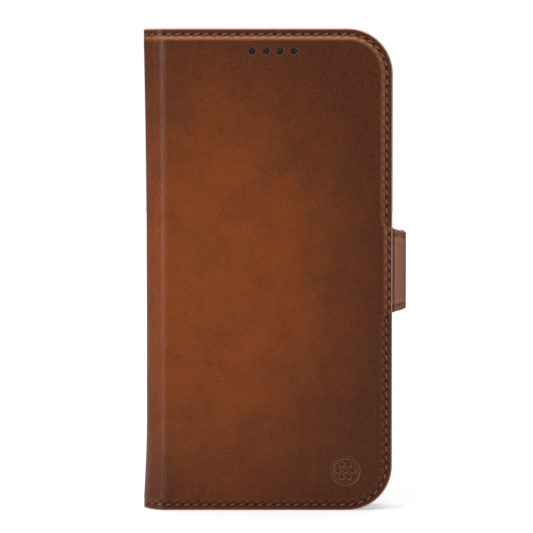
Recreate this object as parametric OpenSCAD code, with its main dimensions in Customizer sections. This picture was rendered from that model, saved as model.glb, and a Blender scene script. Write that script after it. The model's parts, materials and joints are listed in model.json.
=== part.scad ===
// Folio wallet case for a 6.7 inch phone, shut and standing on its bottom edge, its strap not yet fastened.
// X runs from the spine to the strap, Y from the front cover to the back, Z up.
// The origin is the centre of the bounding box at the surface that the case stands on.

/* [Case] */
// Height of the covers
case_h = 168; // [164:0.5:176]
// Width of a cover, from its fold line to its free edge
cover_w = 81; // [80:0.5:88]
// Radius of the two outer corners of a cover
corner_r = 15.7; // [8:0.1:20]

/* [Leather] */
// Thickness of the outer leather
leather_t = 1.2; // [1:0.1:1.6]
// Thickness of the lining
lining_t = 0.7; // [0.5:0.1:1]
// Height that the padding raises the front above its hem
front_rise = 0.9; // [0.5:0.1:1.2]
// Height that the board raises the back above its hem
back_rise = 0.8; // [0.5:0.1:1.2]
// Width of the flat hem around a cover
hem_w = 3.1; // [2.6:0.1:4]
// Distance of the seam from the edge
seam_in = 2; // [1.6:0.1:2.4]

/* [Spine] */
// How far the spine stands out beyond its folds
spine_out = 5; // [4:0.1:6]

/* [Phone] */
// Phone height that the shell holds
phone_h = 161; // [155:0.5:161]
// Phone width
phone_w = 77.4; // [74:0.1:77.6]
// Phone thickness
phone_t = 7.9; // [7:0.1:9]
// Phone corner radius
phone_r = 12.9; // [8:0.1:14]

/* [Strap] */
// Width of the strap where it leaves the front cover
strap_root_w = 30; // [26:0.5:34]
// Width of the strap round the side
strap_w = 26.8; // [22:0.2:30]
// How far the strap stands out beyond the covers
strap_out = 4.9; // [4:0.1:6]
// How far the fastened tongue reaches in over the back
tongue_len = 30; // [26:0.5:36]
// Angle that the loose tongue leans in from straight back
tongue_lean = 13; // [0:1:14]

/* [Pockets] */
// Width of a card pocket outside
pocket_w = 60; // [58:0.5:64]
// Height of the lowest pocket mouth
pocket_mouth = 82; // [70:1:90]
// Step between pocket mouths
pocket_step = 15; // [12:1:16]

/* [Hidden] */
$fn = 64;
eps = 0.01;

// Layers through the case
hem_t = leather_t + lining_t;
pocket_ply = 0.6;
card_gap = 0.8;
cash_gap = 0.4;
shell_gap = 0.4;
shell_wall = 1.5;
shell_floor = 1.2;
shell_lip_t = 0.7;
shell_lip_w = 0.8;
felt_t = 0.3;
strap_ply = 0.9;
strap_t = 2 * strap_ply;
strap_gap = 0.3;
thread_w = 0.6;
thread_t = 0.35;
pockets_t = cash_gap + pocket_ply + 3 * (card_gap + pocket_ply);
shell_t = shell_floor + felt_t + phone_t + shell_lip_t;
inside_t = pockets_t + shell_gap + shell_t;
case_t = front_rise + hem_t + inside_t + hem_t + back_rise;

// The loose tongue sets the depth of the box
strap_clear = 0.3;
strap_stand = strap_out - strap_ply;
tongue_reach = tongue_len + strap_stand;
tongue_travel = 90 - tongue_lean;
tongue_depth = tongue_reach * cos(tongue_lean) + strap_ply * sin(tongue_lean);
depth = case_t + strap_gap + strap_ply + tongue_depth;

// Places through the case, from the front
front_face = -depth / 2;
front_hem = front_face + front_rise;
front_inside = front_hem + hem_t;
back_inside = front_inside + inside_t;
back_hem = back_inside + hem_t;
back_face = back_hem + back_rise;

// Places along X
fold_x = spine_out - (spine_out + cover_w + strap_out) / 2;
edge_x = fold_x + cover_w;
panel_in = 2.2;
mid_z = case_h / 2;

// Each fold's axis runs along the outer face of the leather, and the spine is an arc between the two
spine_half = (back_hem - front_hem) / 2;
spine_r = (spine_half * spine_half + spine_out * spine_out) / (2 * spine_out);
spine_x = fold_x + spine_r - spine_out;
spine_y = (front_hem + back_hem) / 2;
spine_angle = asin(spine_half / spine_r);
spine_seam_short = 10;
mitre = (90 + spine_angle) / 2;
fold_gap = 0.3;
fold_relief = 0.5;

// Sound holes in the front cover, over the middle of the phone
sound_in = 39.5;
sound_x = fold_x + sound_in;
sound_z = case_h - 7.8;
sound_pitch = 4.85;
sound_r = 1.2;
mesh_t = 0.25;

// Rosette
rosette_x = edge_x - 16.3;
rosette_z = 14;
rosette_r = 5;
rosette_depth = 0.25;

// Phone and shell
shell_w = phone_w + 2 * shell_wall;
shell_h = phone_h + 2 * shell_wall;
shell_x = fold_x + sound_in - shell_w / 2;
shell_z = (case_h - shell_h) / 2;
shell_front = back_inside - shell_t;
shell_chamfer = 2.5;
phone_mid_x = shell_x + shell_w / 2;
phone_mid_y = shell_front + shell_lip_t + phone_t / 2;
felt_in = 0.2;
camera_w = 40;
camera_h = 44;
camera_r = 11;
camera_x = shell_x + shell_w - shell_wall - 3.5 - camera_w;
camera_z = shell_z + shell_h - shell_wall - 3.5 - camera_h;
collar_t = 1;
collar_drop = 0.3;
button_w = 5.2;
volume_z = 106;
volume_h = 34;
power_z = 110;
power_h = 20;
port_w = 14;
port_h = 6;
speaker_x = 18;
speaker_w = 12;
speaker_h = 2.6;

// Strap: out from the front edge, back along the side at strap_x, then the tongue
strap_x = edge_x + strap_stand;
strap_front_y = front_face + leather_t + front_rise / 2;
strap_back_y = back_face + strap_gap + strap_ply;
strap_root_x = strap_x - strap_ply - strap_clear;
anchor_len = 8;
anchor_inset = 1;
tongue_tip_w = 22;
tongue_tip_r = 8;
magnet_r = 6;
magnet_t = 0.8;
magnet_x = edge_x - 18;
keeper_r = 7.5;
keeper_t = 0.5;

// Pockets on the inside of the front cover
pocket_x = fold_x + 12;
pocket_z = 10;
pocket_rim_w = 2;
pocket_face = front_inside + pockets_t;
pocket_seam_in = 0.8;
cash_x = fold_x + 7;
cash_in = 4.5;
cash_r = 10.5;

// A flat sheet whose outline is drawn in X and Z, from y0 to y0 + t
module sheet(y0, t) {
    translate([0, y0 + t, 0])
        rotate([90, 0, 0])
            linear_extrude(t)
                children();
}

// Outline with square corners at the fold and round ones at the free edge
module cover_outline(inset, left) {
    r = corner_r - inset;
    right = edge_x - inset;
    translate([left, inset])
        square([right - r - left, case_h - 2 * inset]);
    translate([left, inset + r])
        square([right - left, case_h - 2 * inset - 2 * r]);
    for (z = [inset + r, case_h - inset - r])
        translate([right - r, z])
            circle(r);
}

// Rectangle with four round corners
module round_rect(x, z, w, h, r) {
    translate([x + r, z])
        square([w - 2 * r, h]);
    translate([x, z + r])
        square([w, h - 2 * r]);
    for (cx = [x + r, x + w - r], cz = [z + r, z + h - r])
        translate([cx, cz])
            circle(r);
}

module camera_outline(grow) {
    round_rect(camera_x - grow, camera_z - grow, camera_w + 2 * grow, camera_h + 2 * grow, camera_r + grow);
}

// Band where the strap leaves the front cover, less an inset at its top and foot
module strap_root_outline(left, right, inset) {
    translate([left, mid_z - strap_root_w / 2 + inset])
        square([right - left, strap_root_w - 2 * inset]);
}

// Board inside a cover, one leather's thickness in from the edge of the raised part
module board_outline() {
    cover_outline(hem_w + leather_t, fold_x + panel_in + leather_t);
}

module sound_holes(y0, t, r) {
    for (n = [-1.5:1:1.5])
        translate([sound_x + n * sound_pitch, y0 - eps, sound_z])
            rotate([-90, 0, 0])
                cylinder(r = r, h = t + 2 * eps);
}

// Seam that follows the edge of a cover
module cover_seam(y0, t) {
    sheet(y0, t)
        cover_seam_line();
}

module cover_seam_line() {
    difference() {
        cover_outline(seam_in - thread_w / 2, fold_x + seam_in / 2);
        cover_outline(seam_in + thread_w / 2, fold_x);
    }
}

// The front's seam, which steps up over the end of the strap
module front_seam(hem_y0, strap_y0, t) {
    sheet(hem_y0, t)
        difference() {
            cover_seam_line();
            strap_root_outline(edge_x - hem_w, edge_x, 0);
        }
    sheet(strap_y0, t)
        intersection() {
            cover_seam_line();
            strap_root_outline(edge_x - hem_w, edge_x, 0);
        }
}

// Places its children in a frame on a fold's axis: side 0 is the front fold, 1 the back one
module at_fold(side) {
    translate([fold_x, spine_y, -1])
        mirror([0, side, 0])
            translate([0, -spine_half, 0])
                children();
}

module fold_relief_bore(side) {
    at_fold(side)
        cylinder(r = fold_relief, h = case_h + 2, $fn = 32);
}

// What a cover loses at its fold, so that it clears the spine
module cover_end_cut(side) {
    at_fold(side)
        rotate(mitre)
            translate([-5, -fold_gap / 2, 0])
                cube([15, 15, case_h + 2]);
    fold_relief_bore(side);
}

// What the spine loses at its two folds
module spine_end_cuts() {
    for (side = [0, 1]) {
        at_fold(side)
            rotate(mitre)
                translate([-5, fold_gap / 2 - 15, 0])
                    cube([15, 15, case_h + 2]);
        fold_relief_bore(side);
    }
}

// Arc of the spine between two radii, as far as its folds or short of them
module spine_arc(r_in, r_out, z0, h, inset = 0) {
    half = spine_angle + 5 - inset;
    far = 3 * spine_r;
    translate([spine_x, spine_y, z0])
        linear_extrude(h)
            intersection() {
                difference() {
                    circle(r_out, $fn = 180);
                    circle(r_in, $fn = 180);
                }
                polygon([[0, 0], [-far * cos(half), -far * sin(half)],
                    [-far, 0], [-far * cos(half), far * sin(half)]]);
            }
}

// Outline of the tongue as it lies on the back, round at its tip
module tongue_outline(inset, right) {
    tip = edge_x - tongue_len + inset;
    root_half = strap_w / 2 - inset;
    tip_half = tongue_tip_w / 2 - inset;
    r = tongue_tip_r - inset;
    polygon([[right, mid_z - root_half], [right, mid_z + root_half],
        [tip + r, mid_z + tip_half], [tip + r, mid_z - tip_half]]);
    translate([tip, mid_z - tip_half + r])
        square([r + eps, 2 * (tip_half - r)]);
    for (z = [mid_z - tip_half + r, mid_z + tip_half - r])
        translate([tip + r, z])
            circle(r);
}

// Turns the tongue from where it lies when fastened to where it hangs loose
module loose() {
    translate([strap_x, strap_back_y, 0])
        rotate(-tongue_travel)
            translate([-strap_x, -strap_back_y, 0])
                children();
}

module disc_y(x, y0, z, r, t) {
    translate([x, y0, z])
        rotate([-90, 0, 0])
            cylinder(r = r, h = t);
}

// ---- back: the fixed half of the case ----

// Outer leather, raised over the board inside its hem
module back_leather() {
    color("saddlebrown")
        difference() {
            union() {
                sheet(back_inside + lining_t, leather_t)
                    cover_outline(0, fold_x);
                sheet(back_inside + lining_t, leather_t + back_rise)
                    cover_outline(hem_w, fold_x + panel_in);
            }
            sheet(back_inside + lining_t - eps, back_rise + eps)
                board_outline();
            sheet(back_inside, 5)
                camera_outline(collar_t);
            cover_seam(back_hem - thread_t, thread_t + 1);
            cover_end_cut(1);
        }
}

module back_board() {
    color("tan")
        difference() {
            sheet(back_inside + lining_t, back_rise)
                board_outline();
            sheet(back_inside, 5)
                camera_outline(collar_t);
            disc_y(magnet_x, back_inside + lining_t + back_rise - keeper_t, mid_z, keeper_r, 2);
        }
}

module back_lining() {
    color("sienna")
        difference() {
            sheet(back_inside, lining_t)
                cover_outline(0, fold_x);
            sheet(back_inside - 1, 5)
                camera_outline(collar_t);
            cover_end_cut(1);
        }
}

module back_thread() {
    color("peru")
        cover_seam(back_hem - thread_t, thread_t);
}

// Steel disc that the tongue's magnet pulls on
module keeper_plate() {
    color("silver")
        disc_y(magnet_x, back_inside + lining_t + back_rise - keeper_t, mid_z, keeper_r, keeper_t);
}

// Tray that grips the phone round its edge, with a collar round the camera window
module phone_shell() {
    lip = shell_wall + shell_lip_w;
    color("dimgray")
        difference() {
            union() {
                intersection() {
                    sheet(shell_front, shell_t)
                        round_rect(shell_x, shell_z, shell_w, shell_h, phone_r + shell_wall);
                    linear_extrude(case_h)
                        polygon(shell_section(shell_x, shell_w));
                    translate([shell_x, 0, 0])
                        rotate([90, 0, 90])
                            linear_extrude(shell_w)
                                polygon([for (p = shell_section(shell_z, shell_h)) [p[1], p[0]]]);
                }
                sheet(back_inside - shell_floor, shell_floor + hem_t + back_rise - collar_drop)
                    camera_outline(collar_t);
            }
            sheet(shell_front + shell_lip_t, phone_t + felt_t)
                round_rect(shell_x + shell_wall, shell_z + shell_wall, phone_w, phone_h, phone_r);
            sheet(shell_front - 1, shell_lip_t + 2)
                round_rect(shell_x + lip, shell_z + lip, shell_w - 2 * lip, shell_h - 2 * lip,
                    phone_r - shell_lip_w);
            sheet(back_inside - 5, 12)
                camera_outline(0);
            shell_windows();
        }
}

// Section of the shell across its width or height, with its back edges cut off
function shell_section(start, span) = [
    [start, shell_front], [start + span, shell_front],
    [start + span, back_inside - shell_chamfer], [start + span - shell_chamfer, back_inside],
    [start + shell_chamfer, back_inside], [start, back_inside - shell_chamfer]];

// Openings for the buttons, the charging plug and the loudspeakers
module shell_windows() {
    sides = [[shell_x, volume_z, volume_h], [shell_x + shell_w - shell_wall, power_z, power_h]];
    for (side = sides)
        translate([side[0] - 1, 0, 0])
            rotate([90, 0, 90])
                linear_extrude(shell_wall + 2)
                    round_rect(phone_mid_y - button_w / 2, side[1], button_w, side[2], button_w / 2 - 0.1);
    slots = [[phone_mid_x, port_w, port_h], [phone_mid_x - speaker_x, speaker_w, speaker_h],
        [phone_mid_x + speaker_x, speaker_w, speaker_h]];
    for (slot = slots)
        translate([0, 0, shell_z - 1])
            linear_extrude(shell_wall + 2)
                round_rect(slot[0] - slot[1] / 2, phone_mid_y - slot[2] / 2, slot[1], slot[2], slot[2] / 2 - 0.1);
}

// Felt on the shell's floor, against the back of the phone
module shell_felt() {
    color("darkslategray")
        sheet(shell_front + shell_lip_t + phone_t, felt_t)
            difference() {
                round_rect(shell_x + shell_wall + felt_in, shell_z + shell_wall + felt_in,
                    phone_w - 2 * felt_in, phone_h - 2 * felt_in, phone_r - felt_in);
                camera_outline(2 * felt_in);
            }
}

// ---- spine: the leather between the two folds ----

module spine_leather() {
    color("saddlebrown")
        difference() {
            spine_arc(spine_r - leather_t, spine_r, 0, case_h);
            spine_end_cuts();
            for (z = [seam_in, case_h - seam_in])
                spine_arc(spine_r - thread_t, spine_r + 1, z - thread_w / 2, thread_w, spine_seam_short);
        }
}

module spine_lining() {
    color("sienna")
        difference() {
            spine_arc(spine_r - hem_t, spine_r - leather_t, 0, case_h);
            spine_end_cuts();
        }
}

module spine_thread() {
    color("peru")
        for (z = [seam_in, case_h - seam_in])
            spine_arc(spine_r - thread_t, spine_r, z - thread_w / 2, thread_w, spine_seam_short);
}

// ---- cover: the front half, with its pockets ----

// Raised part of the front, which runs out to the edge where the strap is sewn in
module front_raised_outline() {
    cover_outline(hem_w, fold_x + panel_in);
    strap_root_outline(edge_x - corner_r, edge_x, 0);
}

module front_leather() {
    color("saddlebrown")
        difference() {
            union() {
                sheet(front_hem, leather_t)
                    cover_outline(0, fold_x);
                sheet(front_face, leather_t)
                    front_raised_outline();
            }
            sheet(front_face + leather_t, front_rise + eps) {
                board_outline();
                strap_root_outline(edge_x - anchor_len, edge_x + 1, anchor_inset);
            }
            front_seam(front_hem - 1, front_face - 1, 1 + thread_t);
            sound_holes(front_face, leather_t, sound_r);
            rosette();
            cover_end_cut(0);
        }
}

// Pressed rosette in a ring, in the bottom corner of the front
module rosette() {
    sheet(front_face - eps, rosette_depth) {
        difference() {
            translate([rosette_x, rosette_z])
                circle(rosette_r);
            translate([rosette_x, rosette_z])
                circle(rosette_r - 0.7);
        }
        for (turn = [0:60:300])
            translate([rosette_x, rosette_z])
                rotate(turn)
                    translate([rosette_r / 2, 0])
                        circle(0.9);
        translate([rosette_x, rosette_z])
            circle(0.8);
    }
}

module front_padding() {
    color("tan")
        difference() {
            sheet(front_face + leather_t, front_rise)
                board_outline();
            sheet(front_face, 5)
                strap_root_outline(edge_x - anchor_len, edge_x + 1, anchor_inset);
            sound_holes(front_face, 5, sound_r + 0.3);
            sheet(front_inside - lining_t - mesh_t, 1)
                mesh_outline();
        }
}

module mesh_outline() {
    translate([sound_x - 11, sound_z - 2.6])
        square([22, 5.2]);
}

// Woven mesh behind the sound holes
module earpiece_mesh() {
    color("black")
        sheet(front_inside - lining_t - mesh_t, mesh_t)
            mesh_outline();
}

module front_lining() {
    color("sienna")
        difference() {
            sheet(front_inside - lining_t, lining_t)
                cover_outline(0, fold_x);
            sound_holes(front_inside - lining_t, lining_t, sound_r + 0.3);
            cover_end_cut(0);
        }
}

module front_thread() {
    color("peru")
        front_seam(front_hem, front_face, thread_t);
}

// Panel that carries the card pockets, open towards the spine for notes
module cash_pocket() {
    color("sienna")
        difference() {
            sheet(front_inside, cash_gap + pocket_ply)
                cash_outline(0, cash_x);
            sheet(front_inside - eps, cash_gap + eps)
                cash_outline(pocket_rim_w, cash_x - 1);
            sound_holes(front_inside, cash_gap + pocket_ply, sound_r + 0.3);
        }
}

module cash_outline(inset, left) {
    low = cash_in + inset;
    high = case_h - low;
    right = edge_x - low;
    r = cash_r - inset;
    translate([left, low])
        square([right - r - left, high - low]);
    translate([left, low + r])
        square([right - left, high - low - 2 * r]);
    for (z = [low + r, high - r])
        translate([right - r, z])
            circle(r);
}

// One card pocket, open at the top: number 0 lies against the panel and has the highest mouth
module card_pocket(number) {
    y0 = front_inside + cash_gap + pocket_ply + number * (card_gap + pocket_ply);
    rise = (2 - number) * pocket_step;
    mouth = pocket_mouth + rise;
    sheet(y0, card_gap) {
        difference() {
            translate([pocket_x, pocket_z])
                square([pocket_w, mouth - pocket_z]);
            translate([pocket_x + pocket_rim_w, pocket_z + pocket_rim_w])
                square([pocket_w - 2 * pocket_rim_w, mouth]);
        }
        translate([pocket_x + pocket_rim_w - eps, pocket_z + rise])
            square([pocket_w - 2 * pocket_rim_w + 2 * eps, pocket_rim_w]);
    }
    sheet(y0 + card_gap, pocket_ply)
        translate([pocket_x, pocket_z])
            square([pocket_w, mouth - pocket_z]);
}

module card_pocket_top() {
    color("saddlebrown")
        card_pocket(0);
}

module card_pocket_middle() {
    color("saddlebrown")
        card_pocket(1);
}

module card_pocket_bottom() {
    color("saddlebrown")
        difference() {
            card_pocket(2);
            pocket_seam(pocket_face - thread_t, 1);
        }
}

// Seam round the sides and foot of the card pockets
module pocket_seam(y0, t) {
    outer = pocket_seam_in;
    inner = pocket_seam_in + thread_w;
    top = pocket_mouth - pocket_z - 1;
    sheet(y0, t)
        translate([pocket_x, pocket_z])
            difference() {
                translate([outer, outer])
                    square([pocket_w - 2 * outer, top - outer]);
                translate([inner, inner])
                    square([pocket_w - 2 * inner, top]);
            }
}

module pocket_thread() {
    color("peru")
        pocket_seam(pocket_face - thread_t, thread_t);
}

// End of the strap: sewn in between the leather and the lining, and out as far as its front fold
module strap_anchor() {
    color("saddlebrown")
        union() {
            sheet(front_face + leather_t, front_rise)
                strap_root_outline(edge_x - anchor_len, edge_x + eps, anchor_inset);
            sheet(strap_front_y - strap_ply, strap_t)
                polygon([[edge_x, mid_z - strap_root_w / 2], [strap_root_x, mid_z - strap_w / 2],
                    [strap_root_x, mid_z + strap_w / 2], [edge_x, mid_z + strap_root_w / 2]]);
        }
}

// ---- strap: the part that runs round the side ----

// One layer of the strap between its folds, from one distance off its middle to another
module strap_layer(inner, outer) {
    translate([strap_x + inner, strap_front_y, mid_z - strap_w / 2])
        cube([outer - inner, strap_back_y - strap_front_y, strap_w]);
}

// Round core on each of the strap's folds, which the strap and the tongue turn about
module strap_cores(h) {
    for (y = [strap_front_y, strap_back_y])
        translate([strap_x, y, mid_z])
            cylinder(r = strap_ply, h = h, center = true, $fn = 32);
}

module strap_seams(inner, outer) {
    for (side = [-1, 1])
        translate([strap_x + inner, strap_front_y, mid_z + side * (strap_w / 2 - seam_in) - thread_w / 2])
            cube([outer - inner, strap_back_y - strap_front_y, thread_w]);
}

module strap_leather() {
    color("saddlebrown")
        difference() {
            union() {
                strap_layer(0, strap_ply);
                strap_cores(strap_w);
            }
            strap_seams(strap_ply - thread_t, strap_ply + 1);
        }
}

module strap_lining() {
    color("sienna")
        difference() {
            strap_layer(-strap_ply, 0);
            strap_cores(strap_w + 2);
        }
}

module strap_thread() {
    color("peru")
        strap_seams(strap_ply - thread_t, strap_ply);
}

// ---- tongue: the end of the strap, which closes on the back ----

module tongue_leather() {
    color("saddlebrown")
        loose()
            difference() {
                sheet(strap_back_y, strap_ply)
                    tongue_outline(0, strap_root_x);
                tongue_seam(strap_back_y + strap_ply - thread_t, 1);
                disc_y(magnet_x, strap_back_y - eps, mid_z, magnet_r, magnet_t / 2 + eps);
            }
}

module tongue_lining() {
    color("sienna")
        loose()
            difference() {
                sheet(strap_back_y - strap_ply, strap_ply)
                    tongue_outline(0, strap_root_x);
                disc_y(magnet_x, strap_back_y - magnet_t / 2, mid_z, magnet_r, 2);
            }
}

module tongue_seam(y0, t) {
    sheet(y0, t)
        difference() {
            tongue_outline(seam_in - thread_w / 2, strap_root_x - 0.5);
            tongue_outline(seam_in + thread_w / 2, strap_root_x + 1);
        }
}

module tongue_thread() {
    color("peru")
        loose()
            tongue_seam(strap_back_y + strap_ply - thread_t, thread_t);
}

module tongue_magnet() {
    color("silver")
        loose()
            disc_y(magnet_x, strap_back_y - magnet_t / 2, mid_z, magnet_r, magnet_t);
}

back_leather();
back_board();
back_lining();
back_thread();
keeper_plate();
phone_shell();
shell_felt();
spine_leather();
spine_lining();
spine_thread();
front_leather();
front_padding();
front_lining();
front_thread();
earpiece_mesh();
cash_pocket();
card_pocket_top();
card_pocket_middle();
card_pocket_bottom();
pocket_thread();
strap_anchor();
strap_leather();
strap_lining();
strap_thread();
tongue_leather();
tongue_lining();
tongue_thread();
tongue_magnet();
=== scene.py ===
import json
import math
import bpy
import numpy as np
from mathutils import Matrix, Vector


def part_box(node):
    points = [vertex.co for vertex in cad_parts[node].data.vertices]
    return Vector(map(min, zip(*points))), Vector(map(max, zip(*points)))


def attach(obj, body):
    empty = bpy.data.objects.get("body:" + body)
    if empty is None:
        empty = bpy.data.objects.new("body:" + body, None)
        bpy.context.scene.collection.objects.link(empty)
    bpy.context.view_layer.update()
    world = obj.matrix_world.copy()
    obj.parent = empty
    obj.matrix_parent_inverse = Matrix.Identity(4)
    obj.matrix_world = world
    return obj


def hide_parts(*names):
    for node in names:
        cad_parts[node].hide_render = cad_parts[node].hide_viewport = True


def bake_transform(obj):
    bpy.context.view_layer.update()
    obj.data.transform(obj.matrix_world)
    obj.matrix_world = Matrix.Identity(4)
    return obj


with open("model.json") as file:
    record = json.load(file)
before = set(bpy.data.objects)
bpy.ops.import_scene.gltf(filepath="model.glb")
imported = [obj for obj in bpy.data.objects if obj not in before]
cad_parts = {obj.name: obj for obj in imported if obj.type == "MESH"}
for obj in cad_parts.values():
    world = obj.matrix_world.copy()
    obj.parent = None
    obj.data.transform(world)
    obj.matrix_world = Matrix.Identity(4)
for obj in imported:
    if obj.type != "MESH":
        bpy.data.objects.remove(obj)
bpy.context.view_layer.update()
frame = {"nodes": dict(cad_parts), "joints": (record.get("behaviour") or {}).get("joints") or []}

# ---- Back leather ----
# One hide covers both boards and the spine. Here it is cut as two pieces that meet down the middle of the
# spine: this is the back one. Smooth full-grain cow leather, 1.2 mm, dyed orange-brown and darker towards
# its edges, partly burnished and partly painted shade; its hem pressed flat and sewn all round.
mm = 0.001
front_low, front_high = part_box("front_leather")
back_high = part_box("back_leather")[1]
spine_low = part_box("spine_leather")[0]
folds = {joint["name"]: joint["pos_m"] for joint in frame["joints"]}
fold_x, back_hem = folds["spine_fold"][:2]
front_hem = folds["cover_fold"][1]
edge_x = front_high.x
case_h = front_high.z
mid_z = case_h / 2
hide_t = 1.2 * mm
corner_r = 15.7 * mm
seam_in = 2 * mm
strap_seam_in = 1.1 * mm
stitch_pitch = 3.2 * mm
front_rise = front_hem - front_low.y
back_rise = back_high.y - back_hem

# The spine's section: a small fillet out of the cover, then one round arc to the middle of the spine
spine_y = (front_hem + back_hem) / 2
spine_half = spine_y - front_hem
fillet_r = 3 * mm
fillet_turn = math.radians(35.7)
arc_r = (spine_half - fillet_r * (1 - math.cos(fillet_turn))) / math.cos(fillet_turn)
wrap_x = spine_low.x + fillet_r * math.sin(fillet_turn) + arc_r * (1 - math.sin(fillet_turn))
wrap_len = fillet_r * fillet_turn + arc_r * (math.pi / 2 - fillet_turn)
middle_x = wrap_x - wrap_len

# The seam runs from the spine's middle along the top, round the corners and back along the bottom
seam_bend = corner_r - seam_in
seam_start = edge_x - corner_r - middle_x
cover_seam_half = seam_start + seam_bend * math.pi / 2 + case_h / 2 - corner_r

# How the sewn edge wears: the seam sinks in and the cut edge is rounded over. A thin band of the outer face
# along the edge is painted pale like the cut edge, as a highlight where the rounding catches the light
seam_sink = 0.13 * mm
seam_soft = 0.45 * mm
edge_reach = 0.45 * mm
edge_drop = 0.32 * mm
edge_highlight_band = 0.4 * mm


def start_fresh():
    """Back in object mode, with nothing selected."""
    if bpy.context.object and bpy.context.object.mode != "OBJECT":
        bpy.ops.object.mode_set(mode="OBJECT")
    bpy.ops.object.select_all(action="DESELECT")


def edit(piece, how="VERT"):
    start_fresh()
    piece.select_set(True)
    bpy.context.view_layer.objects.active = piece
    bpy.ops.object.mode_set(mode="EDIT")
    bpy.ops.mesh.select_mode(type=how)


def pick(piece, test, kind="vertices"):
    """Selects, in edit mode, just the parts of the mesh that pass the test."""
    bpy.ops.mesh.select_all(action="DESELECT")
    bpy.ops.object.mode_set(mode="OBJECT")
    for part in getattr(piece.data, kind):
        part.select = test(part)
    bpy.ops.object.mode_set(mode="EDIT")


def points(piece):
    co = np.zeros(len(piece.data.vertices) * 3)
    piece.data.vertices.foreach_get("co", co)
    return co.reshape(-1, 3)


def move_points(piece, co):
    piece.data.vertices.foreach_set("co", np.asarray(co, float).ravel())
    piece.data.update()


def note(piece, name, values):
    """Keeps a place or a measure on every point, for the finish to read."""
    kind = "FLOAT_VECTOR" if np.ndim(values) == 2 else "FLOAT"
    layer = piece.data.attributes.get(name) or piece.data.attributes.new(name, kind, "POINT")
    layer.data.foreach_set("vector" if kind == "FLOAT_VECTOR" else "value", np.asarray(values, float).ravel())


def use(piece, kind, **settings):
    start_fresh()
    piece.select_set(True)
    bpy.context.view_layer.objects.active = piece
    modifier = piece.modifiers.new(kind.lower(), kind)
    for key, value in settings.items():
        setattr(modifier, key, value)
    bpy.ops.object.modifier_apply(modifier=modifier.name)


def smooth(piece, degrees=40):
    start_fresh()
    piece.select_set(True)
    bpy.context.view_layer.objects.active = piece
    bpy.ops.object.shade_smooth_by_angle(angle=math.radians(degrees))


def ease(t):
    t = np.clip(t, 0, 1)
    return t * t * (3 - 2 * t)


def slice_sheet(piece, axis, places, near=None):
    """Cuts a flat sheet along a row of lines, all over or only in the faces near a spot."""
    edit(piece, "FACE")
    normal = (1, 0, 0) if axis == 0 else (0, 0, 1)
    for place in places:
        if near:
            pick(piece, lambda f: abs(f.center.x - near[0]) < near[2] and abs(f.center.z - near[1]) < near[2],
                 "polygons")
        else:
            bpy.ops.mesh.select_all(action="SELECT")
        spot = (place, 0, 0) if axis == 0 else (0, 0, place)
        bpy.ops.mesh.bisect(plane_co=spot, plane_no=normal, threshold=1e-7)
    bpy.ops.object.mode_set(mode="OBJECT")


def cut_blank(name, start, end, y, tall, corner, segments, rings):
    """A flat sheet in X and Z with its outer face towards -Y, square at its start and round at its end.

    The rings are the distances from the edge, in mm, at which it can bend: its rim, its seam, its raised part.
    """
    spare = 20 * mm
    start_fresh()
    bpy.ops.mesh.primitive_plane_add(size=1, location=((start - spare + end) / 2, y, mid_z),
                                     rotation=(math.pi / 2, 0, 0))
    sheet = bpy.context.object
    sheet.name = name
    sheet.scale = (end - start + spare, tall, 1)
    bpy.ops.object.transform_apply(location=True, rotation=True, scale=True)
    edit(sheet)
    pick(sheet, lambda v: v.co.x > end - mm)
    bpy.ops.mesh.bevel(offset=corner, segments=segments, affect="VERTICES")
    bpy.ops.mesh.select_mode(type="FACE")
    bpy.ops.mesh.select_all(action="SELECT")
    ring = 0
    for step in rings:
        bpy.ops.mesh.inset(thickness=(step - ring) * mm, use_even_offset=True)
        ring = step
    bpy.ops.mesh.select_all(action="SELECT")
    bpy.ops.mesh.bisect(plane_co=(start, 0, 0), plane_no=(1, 0, 0), clear_inner=True, threshold=1e-7)
    return sheet


def cut_cover_sheet(name):
    """A cover with its half of the spine, cut closely in the spine, at the fold and beside the strap."""
    rings = (0.08, 0.2, 0.45, 0.9, 1.4, 1.7, 2, 2.3, 2.6, 2.8, 3, 3.2, 3.4, 3.6, 3.9, 4.4, 5.5, 7.5, 10.5, 14)
    sheet = cut_blank(name, middle_x, edge_x, 0, case_h, corner_r, 24, rings)
    fold_band = np.arange(-1.6, 3.9, 0.3) * mm + fold_x
    spine_band = np.linspace(middle_x, fold_x - 1.6 * mm, 28)[1:-1]
    panel = np.linspace(fold_x + 4.4 * mm, edge_x - corner_r, 13)
    slice_sheet(sheet, 0, [*spine_band, *fold_band, *panel])
    root = np.arange(-17, 17.1, 1) * mm + mid_z
    below = np.linspace(corner_r, root[0] - 3 * mm, 9)
    slice_sheet(sheet, 2, [*below, *root, *(case_h - below)])
    return sheet


def give_thickness(sheet, thickness, outer=0, inner=0, rim=0):
    """Makes the sheet solid behind its outer face. The numbers are each side's place among its finishes."""
    use(sheet, "SOLIDIFY", thickness=thickness, offset=-1, use_even_offset=False,
        material_offset=inner - outer, material_offset_rim=rim - outer)


def seam_place(x, z):
    """How far along the seam a point of the cover is, how far inside it, and how far from the edge."""
    from_right = edge_x - x
    from_end = np.minimum(z, case_h - z)
    in_corner = (from_right < corner_r) & (from_end < corner_r)
    across = corner_r - from_right
    up = corner_r - from_end
    edge = np.where(in_corner, corner_r - np.hypot(across, up), np.minimum(from_right, from_end))
    turn = np.arctan2(np.maximum(across, 0), np.maximum(up, 1e-9))
    top = z > mid_z
    straight = np.where(from_end < from_right, x - middle_x, cover_seam_half - np.abs(z - mid_z))
    run = np.where(in_corner, seam_start + seam_bend * turn, straight)
    run = np.where(top, run, 2 * cover_seam_half - run)
    return run, edge


def strap_band(z):
    """1 beside the strap's root, where the flat hem gets narrower and the seam moves out, and 0 elsewhere."""
    return ease((16.6 * mm - np.abs(z - mid_z)) / (2 * mm))


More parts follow.
